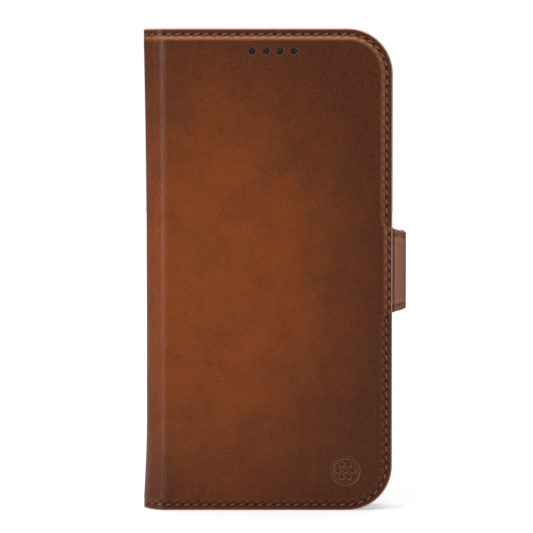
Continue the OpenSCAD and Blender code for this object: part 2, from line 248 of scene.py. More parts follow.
def drape(piece, front, depth_only=False):
    """Lays a flat sheet, or what is sewn to it, on its cover and round the spine."""
    co = points(piece)
    x, y, z = co.T.copy()
    run, edge = seam_place(x, z)
    band = strap_band(z) if front else 0 * z
    inside = edge - seam_in + (seam_in - strap_seam_in) * band
    note(piece, "flat_place", np.stack([x, y, z], 1))
    note(piece, "seam_place", np.stack([run, inside, edge], 1))
    if not depth_only:
        outer = co[:, 1] < 0.3 * mm
        if front:
            pressed = stamp_depth(x, z)
            note(piece, "pressed", pressed)
            y = y + press_depth * pressed * outer
        rise = front_rise if front else back_rise
        past_hem = ease((edge - 2.6 * mm) / (1.3 * mm))
        past_fold = ease((x - fold_x + 1.2 * mm) / (3.9 * mm))
        y = y - rise * np.maximum(past_hem, band) * past_fold + seam_sink * np.exp(-(inside / seam_soft) ** 2)
        round_off = np.clip(1 - edge / edge_reach, 0, 1)
        y = y + np.where(outer, edge_drop * (1 - np.sqrt(1 - round_off ** 2)), 0)
    run_in = np.maximum(wrap_x - x, 0)
    angle = np.where(run_in < fillet_r * fillet_turn, run_in / fillet_r,
                     fillet_turn + (run_in - fillet_r * fillet_turn) / arc_r)
    small = np.minimum(angle, fillet_turn)
    base_x = -fillet_r * np.sin(small) - arc_r * (np.sin(np.maximum(angle, fillet_turn)) - math.sin(fillet_turn))
    base_y = fillet_r * (1 - np.cos(small)) + arc_r * (
        math.cos(fillet_turn) - np.cos(np.maximum(angle, fillet_turn)))
    top_flare = 0.8 * mm * np.clip((z / mm - 100) / 64, 0, 1) ** 1.6
    foot_flare = 1.0 * mm * np.clip((30 - z / mm) / 26, 0, 1) ** 1.5
    flare = top_flare + foot_flare
    new_x = np.where(run_in > 0, wrap_x + base_x + y * np.sin(angle) - flare * np.sin(angle) ** 2, x)
    new_y = np.where(run_in > 0, base_y + y * np.cos(angle), y)
    if front:
        move_points(piece, np.stack([new_x, front_hem + new_y, z], 1))
    else:
        move_points(piece, np.stack([new_x, back_hem - new_y, z], 1))
        piece.data.flip_normals()


# Finishes are put together from nodes
def lay(tree, kind, **values):
    """A new node, with a value or a link for each input and a setting for each other name."""
    node = tree.nodes.new("ShaderNode" + kind)
    for key, value in values.items():
        if isinstance(value, bpy.types.NodeSocket):
            tree.links.new(value, node.inputs[key])
        elif key in node.inputs:
            node.inputs[key].default_value = value
        else:
            setattr(node, key, value)
    return node


def reckon(tree, what, *values, clamp=False):
    """One sum, by its name."""
    node = tree.nodes.new("ShaderNodeMath")
    node.operation = what
    node.use_clamp = clamp
    for socket, value in zip(node.inputs, values):
        if isinstance(value, bpy.types.NodeSocket):
            tree.links.new(value, socket)
        else:
            socket.default_value = value
    return node.outputs[0]


def tint(tree, amount, first, second):
    """The first colour with an amount, 0 to 1, of the second over it."""
    node = tree.nodes.new("ShaderNodeMix")
    node.data_type = "RGBA"
    for index, value in ((0, amount), (6, first), (7, second)):
        if isinstance(value, bpy.types.NodeSocket):
            tree.links.new(value, node.inputs[index])
        else:
            node.inputs[index].default_value = value
    return node.outputs[2]


def dye(*steps):
    """A colour as a dyer's chart gives it, red, green and blue in steps from 0 to 255."""
    linear = [((c / 255 + 0.055) / 1.055) ** 2.4 if c > 10 else c / 255 / 12.92 for c in steps]
    return (*linear, 1)


def scale_range(tree, value, low, high, new_low=0.0, new_high=1.0, kind="SMOOTHSTEP"):
    node = lay(tree, "MapRange", interpolation_type=kind)
    tree.links.new(value, node.inputs["Value"])
    for key, number in (("From Min", low), ("From Max", high), ("To Min", new_low), ("To Max", new_high)):
        node.inputs[key].default_value = number
    return node.outputs["Result"]


def new_group(name, ins, outs):
    group = bpy.data.node_groups.new(name, "ShaderNodeTree")
    for label, kind in ins:
        group.interface.new_socket(label, in_out="INPUT", socket_type="NodeSocket" + kind)
    for label, kind in outs:
        group.interface.new_socket(label, in_out="OUTPUT", socket_type="NodeSocket" + kind)
    return group, group.nodes.new("NodeGroupInput").outputs, group.nodes.new("NodeGroupOutput").inputs


def place_group(tree, group, **values):
    node = tree.nodes.new("ShaderNodeGroup")
    node.node_tree = group
    for key, value in values.items():
        if isinstance(value, bpy.types.NodeSocket):
            tree.links.new(value, node.inputs[key])
        else:
            node.inputs[key].default_value = value
    return node.outputs


def new_material(name):
    material = bpy.data.materials.new(name)
    material.use_nodes = True
    tree = material.node_tree
    return material, tree, tree.nodes["Principled BSDF"]


def attribute(tree, name):
    """A place or a measure that note() kept on the piece's points."""
    node = tree.nodes.new("ShaderNodeAttribute")
    node.attribute_name = name
    return node.outputs["Vector"]


def raise_grain(tree, shader, height, depth):
    bump = lay(tree, "Bump", Height=height, Distance=depth, Strength=1.0)
    tree.links.new(bump.outputs["Normal"], shader.inputs["Normal"])


# Grain: shallow pebbles between fine creases, finer pores, soft mottling and faint drawn streaks
grain, grain_in, grain_out = new_group(
    "leather_grain", [("Place", "Vector"), ("Pebble", "Float")],
    [("Height", "Float"), ("Mottle", "Float"), ("Streak", "Float")])
drift = lay(grain, "TexNoise", Vector=grain_in["Place"], Scale=900.0, Detail=1.0)
bent = lay(grain, "VectorMath", operation="MULTIPLY_ADD")
grain.links.new(drift.outputs["Color"], bent.inputs[0])
bent.inputs[1].default_value = (0.0005, 0.0005, 0.0005)
grain.links.new(grain_in["Place"], bent.inputs[2])
pebbles = lay(grain, "TexVoronoi", feature="DISTANCE_TO_EDGE", Vector=bent.outputs[0], Scale=grain_in["Pebble"])
pores = lay(grain, "TexNoise", Vector=grain_in["Place"], Scale=2600.0, Detail=2.0)
crease = scale_range(grain, pebbles.outputs["Distance"], 0.0, 0.22)
relief = reckon(grain, "MULTIPLY_ADD", pores.outputs["Fac"], 0.55, reckon(grain, "MULTIPLY", crease, 0.45))
grain.links.new(relief, grain_out["Height"])
cloud = lay(grain, "TexNoise", Vector=grain_in["Place"], Scale=70.0, Detail=5.0, Roughness=0.62)
grain.links.new(cloud.outputs["Fac"], grain_out["Mottle"])
drawn = lay(grain, "Mapping", Vector=grain_in["Place"])
drawn.inputs["Scale"].default_value = (1, 1, 0.16)
drawn.inputs["Rotation"].default_value = (0, 0.25, 0)
streaks = lay(grain, "TexNoise", Vector=drawn.outputs[0], Scale=420.0, Detail=3.0, Roughness=0.6)
grain.links.new(streaks.outputs["Fac"], grain_out["Streak"])

# Stitch marks: a slanted hole between every two stitches, which the finish paints dark as the shade in it,
# and the leather puckered beside them
marks, marks_in, marks_out = new_group(
    "stitch_marks", [("Seam", "Vector"), ("Pitch", "Float")], [("Hole", "Float"), ("Pucker", "Float")])
seam_axes = lay(marks, "SeparateXYZ", Vector=marks_in["Seam"])
slant = reckon(marks, "MULTIPLY_ADD", seam_axes.outputs[1], 0.45, seam_axes.outputs[0])
beat = reckon(marks, "SUBTRACT", reckon(marks, "FRACT", reckon(marks, "ADD", reckon(
    marks, "DIVIDE", slant, marks_in["Pitch"]), 0.5)), 0.5)
along = reckon(marks, "DIVIDE", beat, 0.21)
beside = reckon(marks, "DIVIDE", seam_axes.outputs[1], 0.42 * mm)
reach = reckon(marks, "SQRT", reckon(marks, "ADD", reckon(marks, "MULTIPLY", along, along),
                                     reckon(marks, "MULTIPLY", beside, beside)))
marks.links.new(scale_range(marks, reach, 1.15, 0.55), marks_out["Hole"])
ripple = reckon(marks, "COSINE", reckon(marks, "MULTIPLY", beat, 2 * math.pi))
near_seam = reckon(marks, "MULTIPLY", scale_range(marks, seam_axes.outputs[1], 0.1 * mm, 0.7 * mm),
                   scale_range(marks, seam_axes.outputs[1], 2.1 * mm, 1.1 * mm))
marks.links.new(reckon(marks, "MULTIPLY", ripple, near_seam), marks_out["Pucker"])

# Burnish and painted shade: 0 in the bright middle of a cover, 1 where it is darkest. The fall-off is partly
# a burnished finish and partly painted shade, where the light is weaker towards the right and the ends
burnish, burnish_and_shade_in, burnish_and_shade_out = new_group(
    "burnish", [("Place", "Vector"), ("Mottle", "Float")], [("Dark", "Float")])
centred = lay(burnish, "Mapping", vector_type="TEXTURE", Vector=burnish_and_shade_in["Place"])
centred.inputs["Location"].default_value = (-24 * mm, 0, 79 * mm)
centred.inputs["Scale"].default_value = (60 * mm, 1, 92 * mm)
flatten = lay(burnish, "VectorMath", operation="MULTIPLY")
burnish.links.new(centred.outputs[0], flatten.inputs[0])
flatten.inputs[1].default_value = (1, 0, 1)
away = lay(burnish, "VectorMath", operation="LENGTH")
burnish.links.new(flatten.outputs[0], away.inputs[0])
blotch = reckon(burnish, "MULTIPLY_ADD", reckon(burnish, "SUBTRACT", burnish_and_shade_in["Mottle"], 0.5), 0.4,
                away.outputs["Value"])
burnish.links.new(scale_range(burnish, blotch, 0.2, 1.15), burnish_and_shade_out["Dark"])


def hide_material(name, bright, dark, pitch, gloss=0.3, hole_shade=0.85):
    """Full-grain leather that reads its place and its seam from the piece.

    Gloss is its specular level, and the last number is how dark the painted shade in its stitch holes is.
    """
    material, tree, shader = new_material(name)
    place = attribute(tree, "flat_place")
    seam = attribute(tree, "seam_place")
    skin = place_group(tree, grain, Place=place, Pebble=1500.0)
    stitched = place_group(tree, marks, Seam=seam, Pitch=pitch)
    shade = place_group(tree, burnish, Place=place, Mottle=skin["Mottle"])["Dark"]

    # The dye: darker towards the edges, partly a burnished finish and partly painted shade; cloudy, with darker
    # pores and lighter tops to the grain
    colour = tint(tree, shade, bright, dark)
    colour = tint(tree, scale_range(tree, skin["Mottle"], 0.42, 0.68, 0.0, 0.3), colour, dark)
    colour = tint(tree, scale_range(tree, skin["Streak"], 0.5, 0.78, 0.0, 0.1), colour, dye(150, 80, 30))
    colour = tint(tree, scale_range(tree, skin["Height"], 0.5, 0.2, 0.0, 0.4), colour, dye(52, 26, 16))
    colour = tint(tree, scale_range(tree, skin["Height"], 0.6, 0.85, 0.0, 0.25), colour, dye(158, 88, 38))

    # The hem is darker. The ridge inside the seam is painted lighter as a highlight from the light above, more
    # towards the top and rippling with the puckers, and the seam's groove is painted dark as shade
    _, inside, edge = lay(tree, "SeparateXYZ", Vector=seam).outputs
    colour = tint(tree, scale_range(tree, edge, 3.0 * mm, 1.6 * mm, 0.0, 0.3), colour, dye(70, 38, 26))
    ridge = reckon(tree, "MULTIPLY", scale_range(tree, inside, 0.4 * mm, 0.9 * mm),
                   scale_range(tree, inside, 2.6 * mm, 1.2 * mm))
    painted_top_light = scale_range(tree, lay(tree, "SeparateXYZ", Vector=place).outputs[2], 30 * mm, 160 * mm, 0.08, 0.5)
    painted_ridge_highlight = reckon(tree, "MULTIPLY_ADD", stitched["Pucker"], 0.12, painted_top_light)
    colour = tint(tree, reckon(tree, "MULTIPLY", ridge, painted_ridge_highlight, clamp=True), colour, dye(188, 118, 76))
    seam_groove_shade = scale_range(tree, reckon(tree, "ABSOLUTE", inside), 0.6 * mm, 0.2 * mm, 0.0, 0.4)
    colour = tint(tree, seam_groove_shade, colour, dye(48, 24, 14))

    # The pressed mark: its floor is darker, and its outline is painted lighter as a highlight
    stamp = tree.nodes.new("ShaderNodeAttribute")
    stamp.attribute_name = "pressed"
    colour = tint(tree, reckon(tree, "MULTIPLY", stamp.outputs["Fac"], 0.25), colour, dye(46, 24, 16))
    from_outline = reckon(tree, "ABSOLUTE", reckon(tree, "SUBTRACT", stamp.outputs["Fac"], 0.5))
    colour = tint(tree, scale_range(tree, from_outline, 0.5, 0.1, 0.0, 0.45), colour, dye(156, 100, 70))
    # The stitch holes are painted near-black as the shade inside them
    colour = tint(tree, reckon(tree, "MULTIPLY", stitched["Hole"], hole_shade), colour, dye(34, 17, 11))
    tree.links.new(colour, shader.inputs["Base Color"])
    tree.links.new(scale_range(tree, skin["Mottle"], 0.3, 0.75, 0.3, 0.42), shader.inputs["Roughness"])
    shader.inputs["Specular IOR Level"].default_value = gloss
    sewn = reckon(tree, "MULTIPLY_ADD", stitched["Hole"], -1.6, stitched["Pucker"])
    raise_grain(tree, shader, reckon(tree, "MULTIPLY_ADD", skin["Height"], 0.6, sewn), 0.12 * mm)
    return material


def cut_edge_material():
    """Raw cut edge of dyed leather, fibrous, waxed, paler: partly its raw colour, partly a painted highlight."""
    material, tree, shader = new_material("cut_edge")
    place = attribute(tree, "flat_place")
    fibres = lay(tree, "TexNoise", Vector=place, Scale=1800.0, Detail=4.0, Roughness=0.7)
    tree.links.new(tint(tree, fibres.outputs["Fac"], dye(150, 92, 72), dye(212, 152, 128)),
                   shader.inputs["Base Color"])
    shader.inputs["Roughness"].default_value = 0.62
    raise_grain(tree, shader, fibres.outputs["Fac"], 0.08 * mm)
    return material



burnished_hide = hide_material("burnished_hide", dye(140, 65, 13), dye(80, 35, 9), stitch_pitch)
cut_edge = cut_edge_material()


def finish_with(piece, *finishes):
    piece.data.materials.clear()
    for finish in finishes:
        piece.data.materials.append(finish)


def paint_rim(piece):
    """Gives the cut edge's finish to the faces between a sheet's two sides and, as a painted highlight, to a thin
    band along its edge.
    """
    for face in piece.data.polygons:
        place = face.center
        if abs(face.normal.y) < 0.3 or seam_place(np.array(place.x), np.array(place.z))[1] < edge_highlight_band:
            face.material_index = 1


def punch(piece, cutter):
    use(piece, "BOOLEAN", operation="DIFFERENCE", object=cutter, solver="EXACT")
    bpy.data.objects.remove(cutter)


window_x, window_z = 14.25 * mm, 139 * mm
window_w, window_h, window_r = 40 * mm, 44 * mm, 11 * mm


def window_cutter(grow):
    """A block with round corners, the size of the camera window."""
    start_fresh()
    wide, tall = window_w + 2 * grow, window_h + 2 * grow
    bpy.ops.mesh.primitive_cube_add(size=1, location=(window_x, 0, window_z))
    block = bpy.context.object
    block.scale = (wide, 20 * mm, tall)
    bpy.ops.object.transform_apply(location=True, rotation=True, scale=True)
    edit(block, "EDGE")
    pick(block, lambda e: abs(block.data.vertices[e.vertices[0]].co.y - block.data.vertices[e.vertices[1]].co.y)
         > mm, "edges")
    bpy.ops.mesh.bevel(offset=window_r + grow, segments=14)
    bpy.ops.object.mode_set(mode="OBJECT")
    return block


def copy_of(piece, name):
    twin = piece.copy()
    twin.data = piece.data.copy()
    twin.name = name
    bpy.context.scene.collection.objects.link(twin)
    return twin


flat_sheet = cut_cover_sheet("flat_sheet")
back_hide = copy_of(flat_sheet, "back_hide")
finish_with(back_hide, burnished_hide, cut_edge)
give_thickness(back_hide, hide_t)
punch(back_hide, window_cutter(1.1 * mm))
paint_rim(back_hide)
drape(back_hide, front=False)
smooth(back_hide, 50)
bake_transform(back_hide)
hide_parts("back_leather")

# ---- Back board and keeper ----
# A stiff grey-brown fibre board, 0.8 mm, lies inside the back between leather and lining. A steel disc is
# glued into it for the magnet of the strap to hold on to. Both are hidden once the case is sewn.
board_card, tree, shader = new_material("fibre_board")
place = lay(tree, "TexCoord").outputs["Object"]
pulp = lay(tree, "TexNoise", Vector=place, Scale=700.0, Detail=6.0, Roughness=0.7)
tree.links.new(tint(tree, pulp.outputs["Fac"], dye(120, 100, 80), dye(186, 164, 134)),
               shader.inputs["Base Color"])
shader.inputs["Roughness"].default_value = 0.9
raise_grain(tree, shader, pulp.outputs["Fac"], 0.1 * mm)
finish_with(frame["nodes"]["back_board"], board_card)

rolled_steel, tree, shader = new_material("rolled_steel")
place = lay(tree, "Mapping", Vector=lay(tree, "TexCoord").outputs["Object"])
place.inputs["Scale"].default_value = (1, 1, 30)
brushing = lay(tree, "TexNoise", Vector=place.outputs[0], Scale=300.0, Detail=4.0)
tree.links.new(tint(tree, brushing.outputs["Fac"], dye(150, 150, 152), dye(205, 205, 208)),
               shader.inputs["Base Color"])
tree.links.new(scale_range(tree, brushing.outputs["Fac"], 0.3, 0.7, 0.25, 0.45), shader.inputs["Roughness"])
shader.inputs["Metallic"].default_value = 1.0
finish_with(frame["nodes"]["keeper_plate"], rolled_steel)

# ---- Back lining ----
# Thin split leather, 0.7 mm, in a plainer mid brown, glued over the inside of the board and round into the
# spine. It shares the seam round the edge with the outer leather.
lining_t = 0.7 * mm
lining_hide = hide_material("lining_hide", dye(134, 86, 56), dye(112, 68, 44), stitch_pitch)


def cut_lining(name):
    lining = copy_of(flat_sheet, name)
    move_points(lining, points(lining) + np.array([0, hide_t, 0]))
    finish_with(lining, lining_hide, cut_edge)
    give_thickness(lining, lining_t)
    return lining


back_lining = cut_lining("back_lining_sheet")
punch(back_lining, window_cutter(1.1 * mm))
paint_rim(back_lining)
drape(back_lining, front=False, depth_only=True)
smooth(back_lining, 50)
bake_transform(back_lining)
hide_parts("back_lining")

# ---- Phone shell ----
# A moulded tray of matt black plastic that grips the phone round its edge, with openings for its keys, plug
# and loudspeakers and a collar round the camera window. It is glued to the back lining.
shell_plastic, tree, shader = new_material("shell_plastic")
place = lay(tree, "TexCoord").outputs["Object"]
spark = lay(tree, "TexNoise", Vector=place, Scale=3200.0, Detail=2.0)
flow = lay(tree, "TexNoise", Vector=place, Scale=60.0, Detail=3.0)
tree.links.new(tint(tree, flow.outputs["Fac"], dye(30, 28, 28), dye(46, 43, 41)), shader.inputs["Base Color"])
tree.links.new(scale_range(tree, spark.outputs["Fac"], 0.3, 0.7, 0.42, 0.62), shader.inputs["Roughness"])
raise_grain(tree, shader, spark.outputs["Fac"], 0.02 * mm)


def eased_copy(node, name, width):
    """The CAD solid again, with its sharp edges rounded over as moulding, wear or creasing leaves them."""
    piece = copy_of(frame["nodes"][node], name)
    for key in list(piece.keys()):
        del piece[key]
    piece.parent = None
    edit(piece)
    bpy.ops.mesh.select_all(action="SELECT")
    bpy.ops.mesh.remove_doubles(threshold=2e-6)
    bpy.ops.mesh.dissolve_limited(angle_limit=math.radians(1))
    bpy.ops.object.mode_set(mode="OBJECT")
    use(piece, "BEVEL", width=width, segments=2, limit_method="ANGLE", angle_limit=math.radians(50),
        use_clamp_overlap=True, harden_normals=False)
    smooth(piece, 35)
    use(piece, "WEIGHTED_NORMAL", keep_sharp=True)
    note(piece, "flat_place", points(piece))
    note(piece, "seam_place", np.tile([0, 50 * mm, 50 * mm], (len(piece.data.vertices), 1)))
    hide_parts(node)
    return piece


shell = eased_copy("phone_shell", "shell", 0.25 * mm)
finish_with(shell, shell_plastic)
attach(shell, "back")

# ---- Felt ----
# A sheet of dark wool-blend felt, 0.3 mm, lines the floor of the shell so the phone's back isn't scratched.
# It is cut out round the camera window and glued down.
wool_felt, tree, shader = new_material("wool_felt")
place = lay(tree, "TexCoord").outputs["Object"]
tuft = lay(tree, "TexNoise", Vector=place, Scale=1500.0, Detail=5.0, Roughness=0.75, Distortion=1.5)
tree.links.new(tint(tree, tuft.outputs["Fac"], dye(36, 30, 28), dye(92, 78, 68)), shader.inputs["Base Color"])
shader.inputs["Roughness"].default_value = 0.95
shader.inputs["Sheen Weight"].default_value = 0.3
raise_grain(tree, shader, tuft.outputs["Fac"], 0.1 * mm)
finish_with(frame["nodes"]["shell_felt"], wool_felt)

# ---- Front padding ----
# A sheet of firm closed-cell foam, 0.9 mm, on the inside of the front leather. It raises the cover's middle
# above the flat hem and is hidden once the case is sewn.
foam, tree, shader = new_material("closed_cell_foam")
place = lay(tree, "TexCoord").outputs["Object"]
cells = lay(tree, "TexVoronoi", Vector=place, Scale=1600.0)
tree.links.new(tint(tree, cells.outputs["Distance"], dye(214, 200, 178), dye(160, 144, 120)),
               shader.inputs["Base Color"])
shader.inputs["Roughness"].default_value = 0.9
raise_grain(tree, shader, cells.outputs["Distance"], 0.1 * mm)
finish_with(frame["nodes"]["front_padding"], foam)

# ---- Sound mesh ----
# Fine black woven wire mesh behind the sound holes keeps dust off the earpiece. It is glued between the
# padding and the lining. Where its wires cross they are painted almost white as glints.
wire_mesh, tree, shader = new_material("wire_mesh")
place = lay(tree, "TexCoord").outputs["Object"]
turned = lay(tree, "Mapping", Vector=place)
turned.inputs["Rotation"].default_value = (0, math.radians(45), 0)
warp = lay(tree, "TexWave", Vector=turned.outputs[0], wave_type="BANDS", bands_direction="X", Scale=430.0)
weft = lay(tree, "TexWave", Vector=turned.outputs[0], wave_type="BANDS", bands_direction="Z", Scale=430.0)
wires = reckon(tree, "MAXIMUM", warp.outputs["Fac"], weft.outputs["Fac"])
glint = reckon(tree, "MULTIPLY", scale_range(tree, warp.outputs["Fac"], 0.55, 0.95), scale_range(
    tree, weft.outputs["Fac"], 0.55, 0.95))
tree.links.new(tint(tree, glint, dye(10, 10, 11), dye(225, 226, 228)), shader.inputs["Base Color"])
shader.inputs["Metallic"].default_value = 0.7
shader.inputs["Roughness"].default_value = 0.4
raise_grain(tree, shader, wires, 0.1 * mm)
finish_with(frame["nodes"]["earpiece_mesh"], wire_mesh)

# ---- Front leather ----
# The other piece of the hide, over the padding and round the front half of the spine. Four sound holes are
# punched through it near the top, and a small rosette in a ring is pressed into its bottom corner.
mark_x = edge_x - 16.3 * mm
mark_z = 14 * mm
mark_r = 5 * mm
press_depth = 0.24 * mm


def stamp_depth(x, z):
    """1 where the rosette and its ring are pressed in, and 0 where the leather is left as it was."""
    from_mark = np.hypot(x - mark_x, z - mark_z)
    petal = np.min([np.hypot(x - mark_x - mark_r / 2 * math.cos(a), z - mark_z - mark_r / 2 * math.sin(a))
                    for a in np.arange(6) * math.pi / 3], axis=0)
    return np.max([ease((0.65 * mm - np.abs(from_mark - mark_r + 0.35 * mm)) / (0.4 * mm)),
                   ease((1.1 * mm - petal) / (0.35 * mm)),
                   ease((1.0 * mm - from_mark) / (0.35 * mm))], axis=0)


front_hide = copy_of(flat_sheet, "front_hide")
finish_with(front_hide, burnished_hide, cut_edge)
mark_cuts = np.arange(-5.8, 5.9, 0.3) * mm
slice_sheet(front_hide, 0, mark_x + mark_cuts, near=(mark_x, mark_z, 9.5 * mm))
slice_sheet(front_hide, 2, mark_z + mark_cuts, near=(mark_x, mark_z, 9.5 * mm))
give_thickness(front_hide, hide_t)
sound_x = fold_x + 39.5 * mm
sound_z = case_h - 7.8 * mm
sound_pitch = 4.85 * mm
sound_r = 1.2 * mm
sound_places = [sound_x + n * sound_pitch for n in (-1.5, -0.5, 0.5, 1.5)]


def sound_cutters(radius):
    """Four pins that cut the sound holes, joined into one."""
    start_fresh()
    bpy.ops.mesh.primitive_cylinder_add(vertices=32, radius=radius, depth=20 * mm, rotation=(math.pi / 2, 0, 0),
                                        location=(sound_places[0], 0, sound_z))
    bpy.ops.object.transform_apply(location=True, rotation=True, scale=True)
    first = bpy.context.object
    for place in sound_places[1:]:
        twin = copy_of(first, "punch")
        move_points(twin, points(twin) + np.array([place - sound_places[0], 0, 0]))
        twin.select_set(True)
    first.select_set(True)
    bpy.ops.object.join()
    return first


punch(front_hide, sound_cutters(sound_r))
edit(front_hide, "EDGE")


def on_punched_rim(edge):
    """Whether an edge lies round a sound hole on the leather's outer face."""
    ends = [front_hide.data.vertices[i].co for i in edge.vertices]
    near = [min(math.hypot(v.x - place, v.z - sound_z) for place in sound_places) for v in ends]
    return max(v.y for v in ends) < 0.01 * mm and max(near) < sound_r + 0.01 * mm


pick(front_hide, on_punched_rim, "edges")
bpy.ops.mesh.bevel(offset=0.28 * mm, segments=3, clamp_overlap=True)
bpy.ops.object.mode_set(mode="OBJECT")
paint_rim(front_hide)
drape(front_hide, front=True)
smooth(front_hide, 50)
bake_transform(front_hide)
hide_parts("front_leather", "spine_leather")

# ---- Front lining ----
# The same thin split leather on the inside of the front cover, with larger holes behind the sound holes. It
# runs round into the spine, where it meets the back's lining.
front_lining = cut_lining("front_lining_sheet")
punch(front_lining, sound_cutters(1.5 * mm))
paint_rim(front_lining)
drape(front_lining, front=True, depth_only=True)
smooth(front_lining, 50)
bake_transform(front_lining)
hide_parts("front_lining", "spine_lining")
bpy.data.objects.remove(flat_sheet)

# ---- Pockets ----
# A full-height note pocket open towards the spine, and three card pockets on it, each a ply of 0.6 mm leather
# folded over at its mouth. Their mouths step down by 15 mm, and one seam holds their sides and foot.
for node in ("cash_pocket", "card_pocket_top", "card_pocket_middle", "card_pocket_bottom"):
    pocket = eased_copy(node, node + "_ply", 0.18 * mm)
    finish_with(pocket, burnished_hide if node != "cash_pocket" else lining_hide)
    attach(pocket, "cover")

# ---- Stitches ----
# Waxed polyester thread, 0.55 mm, in a saddle stitch every 3.2 mm. Each stitch slants a little and dives into
# its hole at both ends. One is shaped here and copied along every seam.
waxed_thread, tree, shader = new_material("waxed_thread")
place = attribute(tree, "flat_place")
ply = lay(tree, "TexNoise", Vector=place, Scale=2200.0, Detail=3.0)
tree.links.new(tint(tree, ply.outputs["Fac"], dye(124, 66, 38), dye(168, 100, 66)), shader.inputs["Base Color"])
shader.inputs["Roughness"].default_value = 0.55
raise_grain(tree, shader, ply.outputs["Fac"], 0.06 * mm)


def shape_stitch(length, radius):
    """One stitch along X: a round thread that narrows and dives at both ends, and leans a little."""
    start_fresh()
    bpy.ops.mesh.primitive_cylinder_add(vertices=8, radius=radius, depth=length * 0.62, end_fill_type="NGON",
                                        rotation=(0, math.pi / 2, 0))
    stitch = bpy.context.object
    bpy.ops.object.transform_apply(rotation=True)
    for end in (-1, 1):
        edit(stitch, "FACE")
        pick(stitch, lambda f: f.normal.x * end > 0.9, "polygons")
        for grow, narrow in ((length * 0.1, 0.88), (length * 0.09, 0.6)):
            bpy.ops.mesh.extrude_region_move(TRANSFORM_OT_translate={"value": (end * grow, 0, 0)})
            bpy.ops.transform.resize(value=(1, narrow, narrow))
        bpy.ops.object.mode_set(mode="OBJECT")
    co = points(stitch)
    t = co[:, 0] / (length / 2)
    co[:, 1] = co[:, 1] * 0.8 - 0.04 * mm + 0.26 * mm * t ** 2
    lean = math.radians(16)
    x, z = co[:, 0].copy(), co[:, 2].copy()
    co[:, 0] = x * math.cos(lean) - z * math.sin(lean)
    co[:, 2] = x * math.sin(lean) + z * math.cos(lean)
    move_points(stitch, co)
    finish_with(stitch, waxed_thread)
    return stitch


def sew(name, stitch, places):
    """Copies one stitch to every place (x, y, z, heading, side) on a flat seam and joins them."""
    start_fresh()
    shape = points(stitch)
    first = None
    for x, y, z, heading, side in places:
        one = copy_of(stitch, name)
        turn = np.array([[math.cos(heading), 0, -math.sin(heading)], [0, side, 0],
                         [math.sin(heading), 0, math.cos(heading)]])
        move_points(one, shape @ turn.T + np.array([x, y, z]))
        if side < 0:
            one.data.flip_normals()
        one.select_set(True)
        first = first or one
    bpy.context.view_layer.objects.active = first
    bpy.ops.object.join()
    first.name = name
    smooth(first, 60)
    return first


def seam_point(run, front):
    """The place on the cover's seam, flat, at a length along it."""
    back_half = run > cover_seam_half
    short = 2 * cover_seam_half - run if back_half else run
    turn = (short - seam_start) / seam_bend
    if turn < 0:
        x, z = middle_x + short, case_h - seam_in
    elif turn < math.pi / 2:
        x, z = edge_x - corner_r + seam_bend * math.sin(turn), case_h - corner_r + seam_bend * math.cos(turn)
    else:
        x, z = edge_x - seam_in, mid_z + cover_seam_half - short
    if front:
        x += (seam_in - strap_seam_in) * float(strap_band(np.array(z)))
    return x, (case_h - z if back_half else z)


def cover_seam_places(front):
    """Where the stitches of a cover go, on its outer face and, turned over, on its lining."""
    places = []
    for run in np.arange(stitch_pitch / 2, 2 * cover_seam_half, stitch_pitch):
        x, z = seam_point(run, front)
        ahead = seam_point(run + 0.3 * mm, front)
        heading = math.atan2(ahead[1] - z, ahead[0] - x)
        places.append((x, 0, z, heading, 1))
        places.append((x, hide_t + lining_t, z, heading, -1))
    return places


cover_stitch = shape_stitch(2.05 * mm, 0.24 * mm)
back_stitches = sew("back_stitches", cover_stitch, cover_seam_places(False))
drape(back_stitches, front=False)
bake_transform(back_stitches)
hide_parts("back_thread")
front_stitches = sew("front_stitches", cover_stitch, cover_seam_places(True))
drape(front_stitches, front=True)
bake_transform(front_stitches)
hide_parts("front_thread", "spine_thread")

pocket_low, pocket_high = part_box("pocket_thread")
side_x = 0.3 * mm
pocket_places = []
for z in np.arange(pocket_low.z + stitch_pitch, pocket_high.z, stitch_pitch):
    for x in (pocket_low.x + side_x, pocket_high.x - side_x):
        pocket_places.append((x, pocket_high.y, z, math.pi / 2, -1))
for x in np.arange(pocket_low.x + stitch_pitch, pocket_high.x - mm, stitch_pitch):
    pocket_places.append((x, pocket_high.y, pocket_low.z + side_x, 0, -1))
pocket_stitches = sew("pocket_stitches", cover_stitch, pocket_places)
note(pocket_stitches, "flat_place", points(pocket_stitches))
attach(pocket_stitches, "cover")
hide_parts("pocket_thread")

# ---- Strap and tongue ----
# Two plies of 0.9 mm leather, glued and sewn, come out from under the front leather, turn round the side and
# end in a tongue with a magnet inside. The tongue is loose here and leans in a little.
strap_x, strap_front_y = folds["strap_fold"][:2]
strap_back_y = folds["tongue_fold"][1]
strap_w = 26.8 * mm
root_w = 29.6 * mm
tip_w = 22.4 * mm
tongue_len = 34 * mm
strap_seam_sink = 0.1 * mm
strap_edge_drop = 0.28 * mm
ply_t = 0.9 * mm
root_x = edge_x - 3 * mm
lean = math.radians(13)
front_bend = 2.4 * mm
back_bend = 7 * mm
to_corner = strap_x - front_bend - root_x
corner_run = front_bend * math.pi / 2
back_half_run = back_bend * math.tan(lean / 2)
side_run = strap_back_y - strap_front_y - front_bend - back_half_run
side_end = to_corner + corner_run + side_run
strap_len = side_end + back_bend * lean + tongue_len - back_half_run
strap_middle = to_corner + corner_run + side_run / 2
tip_r = 8 * mm
path_run = np.linspace(0, strap_len, 3000)
heading_run = np.interp(path_run, [0, to_corner, to_corner + corner_run, side_end, side_end + back_bend * lean],
                        [0, 0, math.pi / 2, math.pi / 2, math.pi / 2 + lean])
path_step = path_run[1] - path_run[0]
heading_mid = (heading_run[1:] + heading_run[:-1]) / 2
